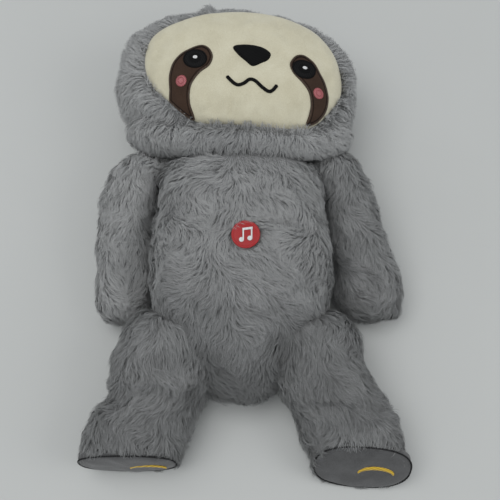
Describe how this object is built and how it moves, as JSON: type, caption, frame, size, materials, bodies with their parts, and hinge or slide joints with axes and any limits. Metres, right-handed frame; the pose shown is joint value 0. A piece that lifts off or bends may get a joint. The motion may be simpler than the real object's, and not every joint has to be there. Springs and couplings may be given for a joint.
{
  "type": "plush sloth",
  "caption": "Grey stuffed plush sloth with a cream face, turning head, swinging arms and legs, and a press-to-play music button on the tummy.",
  "frame": {"origin": "On the flat of the back, under the middle of the tummy, on the surface that the toy lies on", "axes": "+Y towards the top of the head, +Z out of the tummy, +X towards the viewer's right when the toy lies on its back with its head up"},
  "size_m": [0.2485, 0.3654, 0.1045],
  "materials": {
    "grey_plush": "long soft pile",
    "cream_plush": "short soft pile",
    "brown_velour": "smooth velour",
    "black_thread": "satin stitch",
    "white_thread": "satin stitch",
    "pink_thread": "satin stitch",
    "red_thread": "satin stitch",
    "yellow_thread": "satin stitch",
    "sole_velour": "short dense pile",
    "filling": "loose polyester fibre",
    "hook_and_loop": "woven nylon tape",
    "module_plastic": "matte",
    "black_plastic": "matte",
    "circuit_board": "solder mask",
    "steel": "plated",
    "brass": "plain"
  },
  "bodies": {
    "torso": {"torso_cover": "grey_plush", "torso_filling": "filling", "closure_hook_strip": "hook_and_loop", "closure_loop_strip": "hook_and_loop", "case_front": "module_plastic", "case_rear": "module_plastic", "battery_door": "module_plastic", "case_screw_lower": "steel", "case_screw_upper": "steel", "circuit_board": "circuit_board", "push_switch": "black_plastic", "speaker": "black_plastic", "battery_cell_lower": "steel", "battery_cell_middle": "steel", "battery_cell_upper": "steel", "battery_contact_lower": "brass", "battery_contact_upper": "brass"},
    "head": {"head": "grey_plush", "face_panel": "cream_plush", "eye_patch_left": "brown_velour", "eye_patch_right": "brown_velour", "eye_left": "black_thread", "eye_right": "black_thread", "eye_glint_left": "white_thread", "eye_glint_right": "white_thread", "cheek_left": "pink_thread", "cheek_right": "pink_thread", "nose": "black_thread", "mouth_stitching": "black_thread"},
    "arm_left": {"arm_left": "grey_plush"},
    "arm_right": {"arm_right": "grey_plush"},
    "leg_left": {"leg_left": "grey_plush", "sole_left": "sole_velour", "sole_emblem_left": "yellow_thread"},
    "leg_right": {"leg_right": "grey_plush", "sole_right": "sole_velour", "sole_emblem_right": "yellow_thread"},
    "music_button": {"music_patch": "red_thread", "music_note": "white_thread", "button_cap": "module_plastic", "return_spring": "steel"}
  },
  "joints": [
    {"name": "neck_nod", "type": "hinge", "parent": "torso", "child": "head", "pos_m": [0, 0.048, 0.048], "axis": [1, 0, 0], "range_deg": [-20, 25]},
    {"name": "shoulder_left", "type": "hinge", "parent": "torso", "child": "arm_left", "pos_m": [-0.073, 0.058, 0.046], "axis": [-1, 0, 0], "range_deg": [0, 100]},
    {"name": "shoulder_right", "type": "hinge", "parent": "torso", "child": "arm_right", "pos_m": [0.073, 0.058, 0.046], "axis": [-1, 0, 0], "range_deg": [0, 100]},
    {"name": "hip_left", "type": "hinge", "parent": "torso", "child": "leg_left", "pos_m": [-0.05, -0.072, 0.044], "axis": [-1, 0, 0], "range_deg": [0, 75]},
    {"name": "hip_right", "type": "hinge", "parent": "torso", "child": "leg_right", "pos_m": [0.05, -0.072, 0.044], "axis": [-1, 0, 0], "range_deg": [0, 75]},
    {"name": "button_press", "type": "slide", "parent": "torso", "child": "music_button", "axis": [0, 0, -1], "range_m": [0, 0.002], "stiffness_N_per_m": 600, "springref_m": -0.0005, "deforming": ["return_spring"]}
  ]
}
